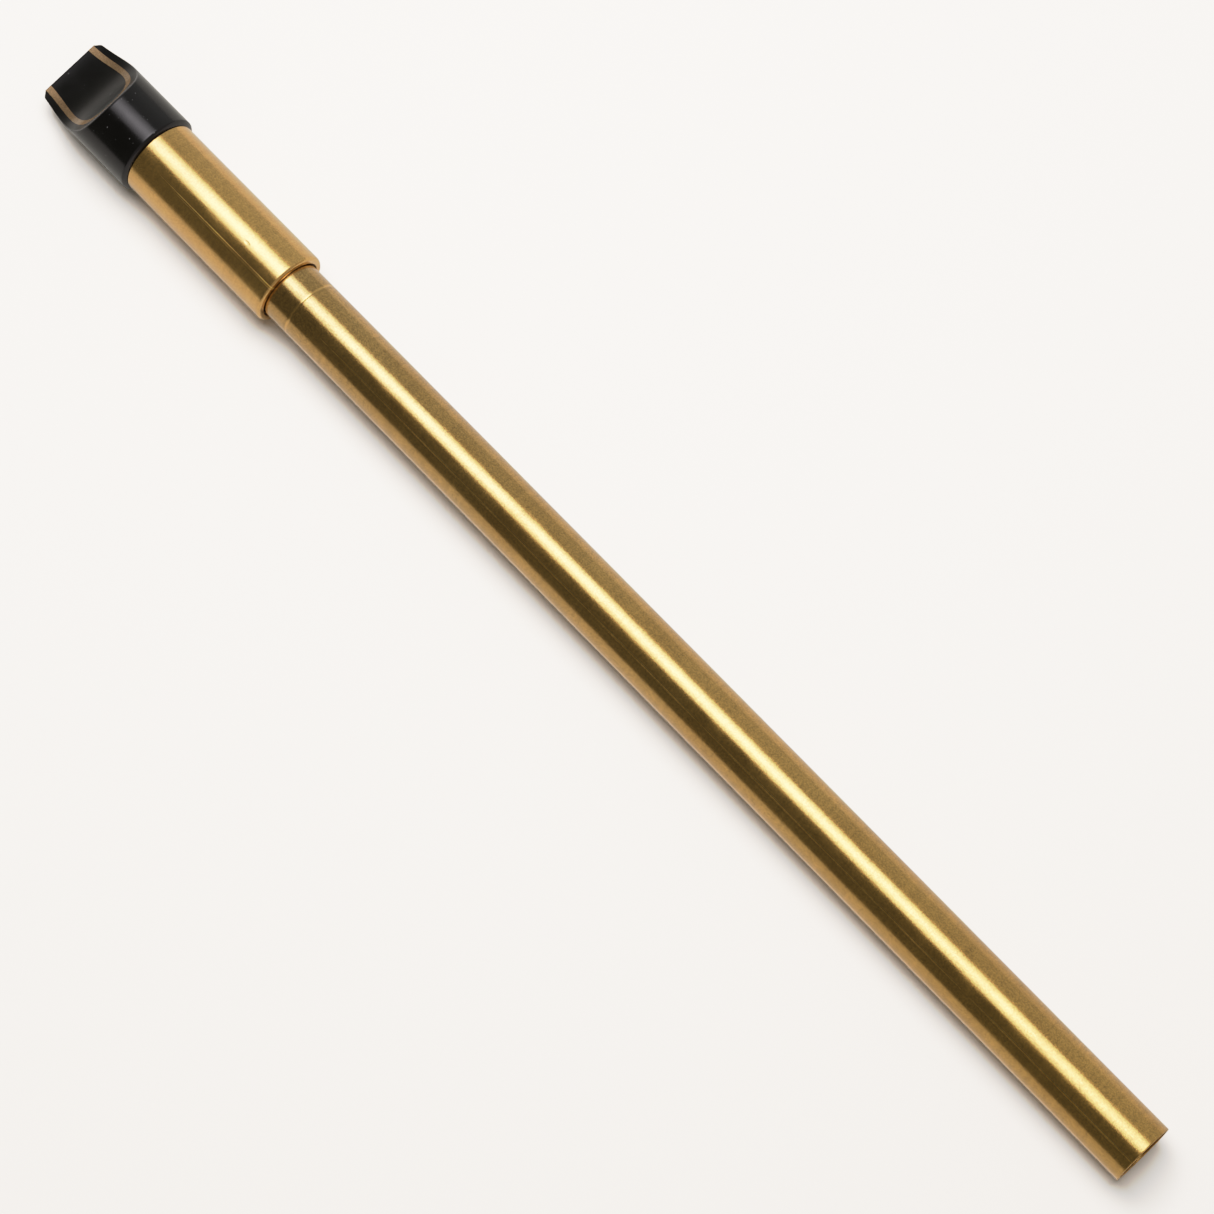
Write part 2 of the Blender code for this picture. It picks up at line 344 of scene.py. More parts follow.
def combine(piece, other, operation, keep=False):
    """Applies a Boolean at once, and removes the cutter unless it is kept."""
    boolean = piece.modifiers.new("cut", "BOOLEAN")
    boolean.operation = operation
    boolean.object = other
    boolean.solver = "EXACT"
    graph = bpy.context.evaluated_depsgraph_get()
    result = bpy.data.meshes.new_from_object(piece.evaluated_get(graph))
    piece.modifiers.clear()
    old = piece.data
    piece.data = result
    result.name = piece.name
    clean(result, merge=1e-6)
    bpy.data.meshes.remove(old)
    if not keep:
        bpy.data.objects.remove(other, do_unlink=True)
    return piece


def arc(centre, radii, start, end, steps):
    """Points of an elliptic arc in (distance, radius), with angles in degrees."""
    points = []
    for i in range(steps + 1):
        angle = math.radians(start + (end - start) * i / steps)
        points.append((centre[0] + radii[0] * math.cos(angle), centre[1] + radii[1] * math.sin(angle)))
    return points


# ---------------------------------------------------------------- shared cutters

def drum():
    """The cutter whose round side makes the beak's hollow."""
    middle = spot(-DRUM_AHEAD, 0, DRUM_HEIGHT)
    across = Matrix.Rotation(math.pi / 2, 4, "X")
    return cylinder("drum", middle, across, DRUM_RADIUS, 4 * SLEEVE_RADIUS, DRUM_AROUND)


def drum_height(distance):
    """Height of the beak's cut at a distance from the mouth end."""
    return DRUM_HEIGHT - math.sqrt(DRUM_RADIUS ** 2 - (distance + DRUM_AHEAD) ** 2)


def slot_sides(start, end):
    """A block as wide as the windway, which goes out through the window's side."""
    half = WINDWAY_WIDTH / 2
    return block("slot_sides", (start, -half, -2 * SLEEVE_RADIUS), (end, half, -BORE_RADIUS / 2))


def narrowed(ring, start, end):
    """What of a turned ring lies within the windway's width, on the window's side."""
    return combine(ring, slot_sides(start - OVERCUT, end + OVERCUT), "INTERSECT")


def windway_channel(inner, outer):
    """A curved slot from the mouth end to the window, between two radii."""
    start = -OVERCUT
    end = WINDOW_START + OVERCUT
    ring = turned("channel", [(end, outer), (start, outer), (start, inner), (end, inner)], shift=0.5)
    return narrowed(ring, start, end)


def ramp():
    """What is cut away above the blade, leaving a ramp that rises to the barrel's outside."""
    start = WINDOW_END - RAMP_START
    end = WINDOW_END + RAMP_LENGTH
    beyond = 1.5 * BARREL_RADIUS
    rise = (BARREL_RADIUS + RAMP_RISE - BLADE_RADIUS) / RAMP_LENGTH
    profile = [(end, beyond), (start, beyond), (start, BLADE_RADIUS - RAMP_START * rise),
               (end, BLADE_RADIUS + RAMP_LENGTH * rise)]
    return narrowed(turned("ramp", profile, shift=0.5), start, end)


def cut_window(tube):
    """Opens the window in a tube, and slopes the ramp behind it."""
    combine(tube, slot_sides(WINDOW_START, WINDOW_END), "DIFFERENCE")
    return combine(tube, ramp(), "DIFFERENCE")


# ---------------------------------------------------------------- pieces

def sleeve_outside(distance):
    """Radius of the sleeve: chamfered at the mouth, then a slight taper up to the full size."""
    tip = SLEEVE_TIP_RADIUS - TIP_CHAMFER
    if distance < TIP_CHAMFER:
        return tip + distance
    along = min(1.0, (distance - TIP_CHAMFER) / (SLEEVE_TAPER_LENGTH - TIP_CHAMFER))
    return SLEEVE_TIP_RADIUS + (SLEEVE_RADIUS - SLEEVE_TIP_RADIUS) * (1.5 * along - 0.5 * along ** 3)


def beak_edge(angle, outside):
    """Distance at which the cut crosses a surface of radius outside(distance), at an angle from the top."""
    low, high = 0.0, DRUM_RADIUS - DRUM_AHEAD - 1e-6
    for _ in range(EDGE_HALVINGS):
        middle = (low + high) / 2
        if drum_height(middle) < outside(middle) * math.cos(angle):
            low = middle
        else:
            high = middle
    return low


def off_axis(distance, radius, angle):
    """A place at a radius from the axis, at an angle from the top."""
    return Vector((distance, radius * math.sin(angle), radius * math.cos(angle)))


def sleeve_flank(start, angle):
    """Points along the sleeve's outside, from just past start to just before the bevel at its rear."""
    length = SLEEVE_LENGTH - END_CHAMFER_ROOM - start
    points = []
    for step in range(1, OUTSIDE_STEPS + 1):
        distance = start + length * (step / OUTSIDE_STEPS) ** OUTSIDE_CROWDING
        points.append(off_axis(distance, sleeve_outside(distance), angle))
    return points


def sleeve_rear(angle):
    """Points over the bevel at the sleeve's rear edge."""
    bevel = SLEEVE_END - END_CHAMFER_LENGTH
    slope = END_CHAMFER_DEPTH / END_CHAMFER_LENGTH
    points = []
    for past, lower in END_CHAMFER_ROUND:
        points.append(off_axis(bevel + past, SLEEVE_RADIUS - max(0.0, past) * slope - lower, angle))
    points.append(off_axis(SLEEVE_END, SLEEVE_RADIUS - END_CHAMFER_DEPTH, angle))
    return points


def beak_section(share, side, inner_radius):
    """One lengthwise section of the sleeve through the beak's cut.

    share runs from 0 on top to 1 at the mouth's edge, where the cut meets the end face, and side is 1 or -1.
    """
    tip_height = drum_height(0.0)
    inner_angle = side * share * math.acos(tip_height / inner_radius)
    outer_angle = side * share * math.acos(tip_height / sleeve_outside(0.0))
    inner_at = beak_edge(inner_angle, lambda distance: inner_radius)
    outer_at = beak_edge(outer_angle, sleeve_outside)
    inner = Vector((inner_at, inner_radius * math.sin(inner_angle), drum_height(inner_at)))
    corner = Vector((outer_at, sleeve_outside(outer_at) * math.sin(outer_angle), drum_height(outer_at)))

    def on_cut(t):
        distance = inner.x + (corner.x - inner.x) * t
        return Vector((distance, inner.y + (corner.y - inner.y) * t, drum_height(distance)))

    whole = 1 - min(BEAK_EASE_SHARE, BEAK_EASE / max((corner - inner).length, 1e-9))
    eased_to = outer_at + BEAK_EASE
    before = on_cut(whole)
    after = off_axis(eased_to, sleeve_outside(eased_to), outer_angle)
    points = [on_cut(step / FACE_STEPS * whole) for step in range(FACE_STEPS)]
    for step in range(EASE_STEPS + 1):
        t = step / EASE_STEPS
        points.append(before.lerp(corner, t).lerp(corner.lerp(after, t), t))
    points += sleeve_flank(eased_to, outer_angle) + sleeve_rear(outer_angle)
    points.append(off_axis(SLEEVE_END, inner_radius, inner_angle))
    points.append(off_axis((SLEEVE_LENGTH + inner_at) / 2, inner_radius, inner_angle))
    return [spot(*point) for point in points]


def mouth_section(share, inner_radius):
    """One lengthwise section of the sleeve below the cut, where the end face is whole."""
    tip_height = drum_height(0.0)
    tip = sleeve_outside(0.0)
    inner_from = math.acos(tip_height / inner_radius)
    outer_from = math.acos(tip_height / tip)
    inner_angle = inner_from + (2 * math.pi - 2 * inner_from) * share
    outer_angle = outer_from + (2 * math.pi - 2 * outer_from) * share
    points = []
    for step in range(FACE_STEPS):
        radius = inner_radius + (tip - inner_radius) * step / FACE_STEPS
        angle = inner_angle + (outer_angle - inner_angle) * step / FACE_STEPS
        points.append(off_axis(0.0, radius, angle))
    for step in range(EASE_STEPS + 1):
        distance = BEAK_EASE * step / EASE_STEPS
        points.append(off_axis(distance, sleeve_outside(distance), outer_angle))
    points += sleeve_flank(BEAK_EASE, outer_angle) + sleeve_rear(outer_angle)
    points.append(off_axis(SLEEVE_END, inner_radius, inner_angle))
    points.append(off_axis(SLEEVE_LENGTH / 2, inner_radius, inner_angle))
    return [spot(*point) for point in points]


def make_sleeve():
    inner_radius = HEAD_RADIUS + SEAT_GAP
    sections = []
    for i in range(-SECTIONS_PER_SIDE, SECTIONS_PER_SIDE + 1):
        sections.append(beak_section(abs(i) / SECTIONS_PER_SIDE, 1 if i > 0 else -1, inner_radius))
    for i in range(1, SECTIONS_PER_SIDE):
        sections.append(mouth_section(i / SECTIONS_PER_SIDE, inner_radius))
    return ring_grid("mouthpiece_sleeve_skin", sections)


def make_plug(beak):
    middle = spot((SEAT_GAP + SLEEVE_LENGTH) / 2, 0, 0)
    length = SLEEVE_LENGTH - SEAT_GAP
    along = Matrix.Rotation(math.pi / 2, 4, "Y")
    plug = cylinder("fipple_plug_skin", middle, along, BORE_RADIUS - SEAT_GAP, length, AROUND)
    combine(plug, beak, "DIFFERENCE", keep=True)
    outside_plug = 1.2 * BORE_RADIUS
    return combine(plug, windway_channel(WINDWAY_FLOOR_RADIUS, outside_plug), "DIFFERENCE")


def make_head_tube(beak):
    profile = [(HEAD_END, HEAD_RADIUS), (0.0, HEAD_RADIUS), (0.0, BORE_RADIUS), (HEAD_END, BORE_RADIUS)]
    tube = turned("head_tube_skin", profile)
    combine(tube, beak, "DIFFERENCE", keep=True)
    combine(tube, windway_channel(WINDWAY_FLOOR_RADIUS, WINDWAY_ROOF_RADIUS), "DIFFERENCE")
    return cut_window(tube)


def make_barrel():
    inside = HEAD_RADIUS + 2 * SEAT_GAP
    lip_back = LIP_END - LIP_HOLD
    lip_centre = (LIP_END - LIP_ROUND_LENGTH, BARREL_RADIUS - LIP_ROUND_DEPTH)
    inner_centre = (LIP_END - LIP_INNER_ROUND, LIP_RADIUS + LIP_INNER_ROUND)
    profile = arc(lip_centre, (LIP_ROUND_LENGTH, LIP_ROUND_DEPTH), 90, 0, steps=14)
    profile += arc(inner_centre, (LIP_INNER_ROUND, LIP_INNER_ROUND), 0, -90, steps=5)
    profile += [(lip_back, LIP_RADIUS), (lip_back, inside), (BARREL_START, inside),
                (BARREL_START, BARREL_RADIUS), (LIP_END - LIP_ROUND_LENGTH - BARREL_HOLD, BARREL_RADIUS)]
    return cut_window(turned("tuning_barrel_skin", profile))


def make_liner():
    inner = BODY_RADIUS + SLIDE_GAP
    profile = [(LINER_END, LINER_RADIUS), (LINER_START, LINER_RADIUS), (LINER_START, inner),
               (LINER_END - LINER_EDGE, inner), (LINER_END, inner + LINER_EDGE)]
    return turned("socket_liner_skin", profile)


def hole_distances():
    """Finger-hole places from the mouth end, lowest hole first, by the rule the CAD model uses."""
    bore = 2 * BORE_RADIUS
    wall = BODY_RADIUS - BORE_RADIUS
    below = FOOT_END + FOOT_CORRECTION * BORE_RADIUS
    places = []
    for semitones, diameter in zip(HOLE_SEMITONES, HOLE_DIAMETERS):
        wave = SPEED_OF_SOUND / (2 * TONIC * 2 ** (semitones / 12))
        stop = WINDOW_END + wave - WINDOW_CORRECTION
        chimney = (wall + HOLE_CORRECTION * diameter) * (bore / diameter) ** 2
        place = stop
        for _ in range(HOLE_ROUNDS):
            spacing = below - place
            place = stop - spacing / 2 * (math.sqrt(1 + 4 * chimney / spacing) - 1)
        places.append(place)
        below = place
    return places


def hole_drill(distance, diameter):
    """A drill that also eases the hole's edge by the same width all the way round the curved wall."""
    radius = diameter / 2
    rim = radius + 0.8 * HOLE_EASE
    inside = 0.5 * BORE_RADIUS
    outside = 1.4 * BODY_RADIUS

    def wall_height(reach, angle):
        across = reach * math.sin(angle)
        return math.sqrt(BODY_RADIUS ** 2 - across ** 2)

    points = []
    for i in range(HOLE_AROUND):
        angle = 2 * math.pi * i / HOLE_AROUND
        column = [(radius, inside), (radius, wall_height(radius, angle) - HOLE_EASE)]
        for turn in HOLE_EASE_ANGLES:
            reach = radius + HOLE_EASE * (1 - math.cos(turn))
            column.append((reach, wall_height(reach, angle) - HOLE_EASE * (1 - math.sin(turn))))
        column += [(rim, wall_height(radius, angle) + 2 * HOLE_EASE), (rim, outside)]
        for reach, height in column:
            points.append(spot(distance + reach * math.cos(angle), reach * math.sin(angle), -height))
    count = len(points) // HOLE_AROUND
    faces = []
    for i in range(HOLE_AROUND):
        j = (i + 1) % HOLE_AROUND
        for k in range(count - 1):
            faces.append((i * count + k, i * count + k + 1, j * count + k + 1, j * count + k))
    for end in (0, count - 1):
        faces.append([i * count + end for i in range(HOLE_AROUND)])
    mesh = bpy.data.meshes.new("drill")
    mesh.from_pydata(points, [], faces)
    clean(mesh)
    return new_object("drill", mesh)


def make_body():
    ring_start = RING_FROM_MOUTH - RING_WIDTH / 2
    ring_end = RING_FROM_MOUTH + RING_WIDTH / 2
    corner = 0.3 * FOOT_EDGE
    profile = [(FOOT_END, BODY_RADIUS - FOOT_EDGE), (FOOT_END - corner, BODY_RADIUS - corner),
               (FOOT_END - FOOT_EDGE, BODY_RADIUS), (FOOT_END - FOOT_EDGE - BODY_HOLD, BODY_RADIUS),
               (ring_end + BODY_HOLD, BODY_RADIUS)]
    for step in range(RING_STEPS + 1):
        t = step / RING_STEPS
        depth = RING_DEPTH * math.sin(math.pi * t)
        profile.append((RING_FROM_MOUTH + RING_WIDTH * (0.5 - t), BODY_RADIUS - depth))
    profile += [(ring_start - BODY_HOLD, BODY_RADIUS), (BODY_START, BODY_RADIUS), (BODY_START, BORE_RADIUS),
                (FOOT_END - FOOT_EDGE, BORE_RADIUS), (FOOT_END, BORE_RADIUS + FOOT_EDGE)]
    body = turned("body_tube_skin", profile)
    for distance, diameter in zip(hole_distances(), HOLE_DIAMETERS):
        combine(body, hole_drill(distance, diameter), "DIFFERENCE")
    return body


def finish_piece(piece, node, body, material, sharp_angle=TUBE_SHARP_ANGLE):
    """Gives a piece its material and smooth faces, ties it to its body, and hides the CAD model's piece that
    it takes the place of.
    """
    piece.data.materials.clear()
    piece.data.materials.append(material)
    piece.data.shade_smooth()
    piece.data.set_sharp_from_angle(angle=math.radians(sharp_angle))
    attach(piece, body)
    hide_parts(node)


# ---------------------------------------------------------------- materials

def tinted(colour, factors=(1, 1, 1)):
    """A colour with each of its three parts multiplied, made opaque."""
    return tuple(part * factor for part, factor in zip(colour, factors)) + (1,)


class Nodes:
    """Lays out the nodes of one tree. A value given to a node is an output, a number or a few numbers."""

    def __init__(self, tree):
        self.tree = tree

    def node(self, kind, **settings):
        made = self.tree.nodes.new(kind)
        for key, value in settings.items():
            setattr(made, key, value)
        return made

    def feed(self, value, socket):
        if isinstance(value, bpy.types.NodeSocket):
            self.tree.links.new(value, socket)
        else:
            socket.default_value = value

    def split(self, vector):
        """The X, Y and Z of a vector."""
        made = self.node("ShaderNodeSeparateXYZ")
        self.feed(vector, made.inputs["Vector"])
        return tuple(made.outputs)

    def math(self, operation, first, second=0.0):
        made = self.node("ShaderNodeMath", operation=operation)
        self.feed(first, made.inputs[0])
        self.feed(second, made.inputs[1])
        return made.outputs["Value"]

    def vector_math(self, operation, first, second, result="Vector"):
        made = self.node("ShaderNodeVectorMath", operation=operation)
        self.feed(first, made.inputs[0])
        self.feed(second, made.inputs[1])
        return made.outputs[result]

    def squares(self, first, second):
        """The sum of two squares."""
        return self.math("ADD", self.math("MULTIPLY", first, first), self.math("MULTIPLY", second, second))

    def ramp(self, value, low, high, start=0.0, end=1.0):
        """Maps value from low..high to start..end, kept inside."""
        remap = self.node("ShaderNodeMapRange", clamp=True)
        limits = (("From Min", low), ("From Max", high), ("To Min", start), ("To Max", end))
        for name, limit in limits:
            self.feed(limit, remap.inputs[name])
        self.feed(value, remap.inputs["Value"])
        return remap.outputs["Result"]

    def mix(self, factor, first, second, blend="MIX"):
        """Mixes two colours."""
        made = self.node("ShaderNodeMix", data_type="RGBA", blend_type=blend)
        self.feed(factor, made.inputs["Factor"])
        self.feed(first, made.inputs[6])
        self.feed(second, made.inputs[7])
        return made.outputs[2]


class MaterialNodes(Nodes):
    """Lays out a material's nodes, from the place on the object before anything moves."""

    def __init__(self, name):
        self.material = bpy.data.materials.new(name)
        self.material.use_nodes = True
        super().__init__(self.material.node_tree)
        self.shader = self.tree.nodes["Principled BSDF"]
        self.place = self.node("ShaderNodeTexCoord").outputs["Object"]
        self.x, self.y, self.z = self.split(self.place)

    def along(self):
        """Distance from the mouth end."""
        return self.math("SUBTRACT", self.x, MOUTH_X)

    def height(self):
        """Height above the whistle's axis."""
        return self.math("SUBTRACT", self.z, AXIS_Z)

    def from_axis(self):
        """Distance from the whistle's axis."""
        return self.math("SQRT", self.squares(self.y, self.height()))

    def noise(self, scale, detail=3.0, roughness=0.5):
        """Noise from 0 to 1, with a scale for each axis."""
        mapping = self.node("ShaderNodeMapping")
        self.feed(self.place, mapping.inputs["Vector"])
        self.feed(scale, mapping.inputs["Scale"])
        texture = self.node("ShaderNodeTexNoise")
        self.feed(mapping.outputs["Vector"], texture.inputs["Vector"])
        for name, value in (("Scale", 1.0), ("Detail", detail), ("Roughness", roughness)):
            self.feed(value, texture.inputs[name])
        return texture.outputs["Fac"]

    def bump(self, height, strength, distance, before=None):
        """Relief from a height of 0 to 1, on top of the relief before it."""
        made = self.node("ShaderNodeBump")
        for name, value in (("Height", height), ("Strength", strength), ("Distance", distance)):
            self.feed(value, made.inputs[name])
        if before is not None:
            self.feed(before, made.inputs["Normal"])
        return made.outputs["Normal"]

    def shade(self, **values):
        """Feeds the shader's inputs, whose names are written with _ for a space."""
        for name, value in values.items():
            self.feed(value, self.shader.inputs[name.replace("_", " ")])


def draw_line_and_glint(n, angle, width):
    """1 on a fine line drawn along the tube at an angle from the top towards -Y, and 0 away from it."""
    height = n.height()
    across = n.math("ADD", n.math("MULTIPLY", n.y, math.cos(angle)),
                    n.math("MULTIPLY", height, math.sin(angle)))
    drift = n.ramp(n.noise((9, 0.1, 0.1), detail=2.0), 0.2, 0.8, -DRAW_WANDER, DRAW_WANDER)
    line = n.ramp(n.math("ABSOLUTE", n.math("ADD", across, drift)), 0.0, width, 1.0, 0.0)
    broken = n.ramp(n.noise((60, 0.1, 0.1), detail=4.0), 0.35, 0.6, 0.25, 1.0)
    return n.math("MULTIPLY", n.math("MULTIPLY", line, n.math("GREATER_THAN", height, 0.0)), broken)


def ring_tone_and_painted_shine(n, shade):
    """Paints a highlight on the scribed ring, and makes the tube a little darker between it and the lip."""
    past_ring = n.math("SUBTRACT", n.along(), RING_FROM_MOUTH)
    before = n.ramp(past_ring, -BEFORE_RING_FADE, BEFORE_RING_FADE, BEFORE_RING_SHADE, 1.0)
    shine = n.ramp(n.math("ABSOLUTE", past_ring), *RING_PAINTED_SHINE_FADE, 1.0, 0.0)
    return n.math("ADD", n.math("MULTIPLY", shade, before), n.math("MULTIPLY", shine, RING_PAINTED_SHINE))


def lip_painted_shade(n, shade):
    """Paints shade inside the lip, where little light gets in."""
    start, end = LIP_PAINTED_SHADE_FADE
    inside = n.ramp(n.from_axis(), LIP_RADIUS + start, LIP_RADIUS + end, LIP_PAINTED_SHADE, 1.0)
    return n.math("MULTIPLY", shade, inside)


def dent(n, normal):
    """Sinks the dent into the top of the barrel."""
    along = n.math("DIVIDE", n.math("SUBTRACT", n.along(), DENT_FROM_MOUTH), DENT_HALF_LENGTH)
    across = n.math("DIVIDE", n.math("SUBTRACT", n.y, DENT_ASIDE), DENT_HALF_WIDTH)
    on_top = n.math("GREATER_THAN", n.height(), 0.0)
    depth = n.math("MULTIPLY", n.ramp(n.squares(along, across), 0.0, 1.0, 1.0, 0.0), on_top)
    return n.bump(depth, 1.0, -DENT_DEPTH, before=normal)


def brass(name, tones, rough, grain, mottle, lines=(), marks_and_painted_light=None, relief=None):
    """Satin brass with fine grain, soft patches, turning lines and draw lines, with painted highlights on the
    draw lines and a painted reflection that lightens it away from the mouth.

    marks_and_painted_light changes the shade at certain places, painted highlight and painted shade among
    them, and relief adds to the surface's normal.
    """
    n = MaterialNodes(name)
    mouth_tone, foot_tone = tones
    colour = n.mix(n.ramp(n.along(), TONE_START, TONE_END), tinted(mouth_tone), tinted(foot_tone))
    patches = n.noise((45, 130, 130), detail=4.0, roughness=0.6)
    colour = n.mix(n.ramp(patches, 0.35, 0.68, 0.0, 0.7), colour, tinted(foot_tone, PATCH_TINT))

    speck = n.noise((2900, 2900, 2900), detail=3.0, roughness=0.75)
    cloud = n.noise((420, 420, 420), detail=2.0, roughness=0.6)
    bands = n.noise((1300, 60, 60), detail=3.0, roughness=0.6)
    shade = n.math("ADD", n.ramp(speck, 0.34, 0.66, 1 - mottle, 1 + mottle),
                   n.ramp(cloud, 0.3, 0.7, -CLOUD_SHARE * mottle, CLOUD_SHARE * mottle))
    shade = n.math("ADD", shade, n.ramp(bands, 0.3, 0.7, -BAND_SHARE * mottle, BAND_SHARE * mottle))
    # Painted reflection: away from the mouth the brass is painted lighter, for the brighter surroundings it
    # reflects there
    shade = n.math("ADD", shade, n.ramp(n.along(), PAINTED_LIGHTER_START, PAINTED_LIGHTER_END, 0.0, PAINTED_LIGHTER_BY))
    smear = n.noise((140, 420, 420), detail=5.0, roughness=0.62)
    dull = n.ramp(smear, 0.3, 0.72, rough * 0.75, rough * 1.25)
    foot_start, foot_full = FOOT_DULL
    foot = n.ramp(n.along(), FOOT_END - foot_start, FOOT_END - foot_full, 0.0, FOOT_DULLNESS)
    dull = n.math("ADD", dull, foot)
    # Each draw line is made rougher, and painted lighter as a highlight for the light it catches
    for angle, strength, width, faint, full in lines:
        line = n.math("MULTIPLY", draw_line_and_glint(n, angle, width), n.ramp(n.along(), faint, full))
        line = n.math("MULTIPLY", line, 0.5 * strength)
        shade = n.math("ADD", shade, line)
        dull = n.math("ADD", dull, line)
    if marks_and_painted_light:
        shade = marks_and_painted_light(n, shade)

    grit = n.noise((3600, 3600, 3600), detail=2.0, roughness=0.7)
    turning = n.noise((4200, 120, 120), detail=2.0, roughness=0.6)
    normal = n.bump(grit, grain, GRIT_DEPTH)
    normal = n.bump(turning, 0.5 * grain, TURNING_DEPTH, before=normal)
    if relief:
        normal = relief(n, normal)
    grey = n.node("ShaderNodeCombineColor")
    for socket in grey.inputs:
        n.feed(shade, socket)
    colour = n.mix(1.0, colour, grey.outputs[0], blend="MULTIPLY")
    n.shade(Base_Color=colour, Roughness=dull, Normal=normal, Metallic=1.0, Specular_Tint=tinted(BRASS_TINT),
            Coat_Weight=LACQUER, Coat_Roughness=LACQUER_ROUGHNESS)
    return n.material


def cut_and_painted_edge_highlight(n):
    """Where the beak's hollow was milled, and where its edge at the shoulder is painted pale as a highlight.
    """
    past_drum = n.math("SUBTRACT", n.x, MOUTH_X - DRUM_AHEAD)
    from_drum = n.math("SQRT", n.squares(past_drum, n.math("SUBTRACT", n.height(), DRUM_HEIGHT)))

    def near_cut(start, end):
        return n.ramp(from_drum, DRUM_RADIUS + start, DRUM_RADIUS + end, 1.0, 0.0)

    begins, full = EDGE_HIGHLIGHT_DEPTH
    near_outside = n.ramp(n.from_axis(), SLEEVE_RADIUS - begins, SLEEVE_RADIUS - full)
    return near_cut(*CUT_FADE), n.math("MULTIPLY", near_cut(*EDGE_HIGHLIGHT_FADE), near_outside)


def black_plastic(name, rough, line_strength):
    """Satin black acetal: fine turning lines, a slight bloom, a few specks of dust, and a painted highlight
    along the beak's shoulder edge.
    """
    n = MaterialNodes(name)
    bloom = n.noise((300, 300, 300), detail=5.0, roughness=0.6)
    colour = n.mix(n.ramp(bloom, 0.35, 0.7), tinted(PLASTIC_DARK), tinted(PLASTIC_BLOOM))
    dust = n.noise((1500, 1500, 1500), detail=1.0)
    colour = n.mix(n.ramp(dust, 0.76, 0.80, 0.0, 0.6), colour, tinted(DUST))
    cut, edge_highlight_mask = cut_and_painted_edge_highlight(n)
    # Painted highlight: the beak's edge at the shoulder is painted paler
    colour = n.mix(edge_highlight_mask, colour, tinted(PAINTED_EDGE_HIGHLIGHT))
    dull = n.ramp(bloom, 0.3, 0.7, rough * 0.85, rough * 1.15)
    dull = n.math("ADD", dull, n.math("MULTIPLY", cut, CUT_DULLNESS))
    lines = n.noise((6200, 300, 300), detail=2.0, roughness=0.6)
    grit = n.noise((5200, 5200, 5200), detail=2.0, roughness=0.6)
    normal = n.bump(lines, line_strength, PLASTIC_RELIEF)
    normal = n.bump(grit, line_strength, PLASTIC_RELIEF, before=normal)
    n.shade(Base_Color=colour, Roughness=dull, Normal=normal, Specular_Tint=tinted(PLASTIC_TINT),
            Sheen_Weight=0.08, Sheen_Roughness=0.3)
    return n.material


def floor_paint():
    """Pale table paint. The camera sees it near white; the whistle reflects a greyer table, with a painted
    glow close beside it on its -Y side.
    """
    n = MaterialNodes("floor_paint")
    mottle = n.noise((6, 6, 6), detail=3.0)
    seen = n.mix(mottle, tinted(FLOOR_SEEN), tinted(FLOOR_SEEN, (FLOOR_MOTTLE,) * 3))
    # Painted light: a strip of the table beside the whistle's -Y side is reflected brighter
    beside = n.math("MULTIPLY", n.ramp(n.y, -FLOOR_GLOW_END, -FLOOR_GLOW_START),
                    n.ramp(n.y, -FLOOR_GLOW_START, 0.0, 1.0, 0.0))
    reflected = n.mix(beside, tinted(FLOOR_REFLECTED), tinted(FLOOR_REFLECTED, (FLOOR_GLOW,) * 3))
    path = n.node("ShaderNodeLightPath")
    n.shade(Base_Color=n.mix(path.outputs["Is Camera Ray"], reflected, seen), Roughness=0.6)
    return n.material


# ---------------------------------------------------------------- camera, floor and light

def make_camera():
    """The camera looks down on the beak's cut, leaning towards the foot and a little to one side."""
    lean, roll = CAMERA_TOWARDS_FOOT, CAMERA_ROLL_SIDE
    back = Vector((math.sin(lean), -math.cos(lean) * math.sin(roll), math.cos(lean) * math.cos(roll)))
    axis = (Vector((1, 0, 0)) - back * back.x).normalized()
    across = back.cross(axis)
    right = axis * math.cos(AXIS_SLOPE) + across * math.sin(AXIS_SLOPE)
    up = across * math.cos(AXIS_SLOPE) - axis * math.sin(AXIS_SLOPE)
    aim = Vector(spot(AIM_FROM_MOUTH, 0, 0)) + across * AIM_ASIDE
    data = bpy.data.cameras.new("camera")
    data.sensor_width = SENSOR_WIDTH
    data.lens = SENSOR_WIDTH * FOCAL_IN_PICTURE_WIDTHS
    data.clip_start = CLIP_NEAR
    data.clip_end = CLIP_FAR
    camera = new_object("camera", data)
    facing = Matrix((right, up, back)).transposed().to_4x4()
    camera.matrix_world = Matrix.Translation(aim + back * CAMERA_DISTANCE) @ facing
    bpy.context.scene.camera = camera


def make_floor():
    """A pale table that touches the sleeve and the foot."""
    slope = math.atan2(SLEEVE_RADIUS - BODY_RADIUS, FOOT_END - SLEEVE_LENGTH)
    shape = bmesh.new()
    bmesh.ops.create_grid(shape, x_segments=FLOOR_FACES, y_segments=FLOOR_FACES, size=FLOOR_SIDE / 2)
    floor = from_bmesh("floor", shape)
    below = Matrix.Translation((0, 0, -SLEEVE_RADIUS)) @ Matrix.Rotation(-slope, 4, "Y")
    middle = Matrix.Translation(spot(FLOOR_TOUCH, 0, 0))
    floor.matrix_world = middle @ Matrix.Rotation(-FLOOR_ROLL, 4, "X") @ below
    floor.data.materials.append(floor_paint())


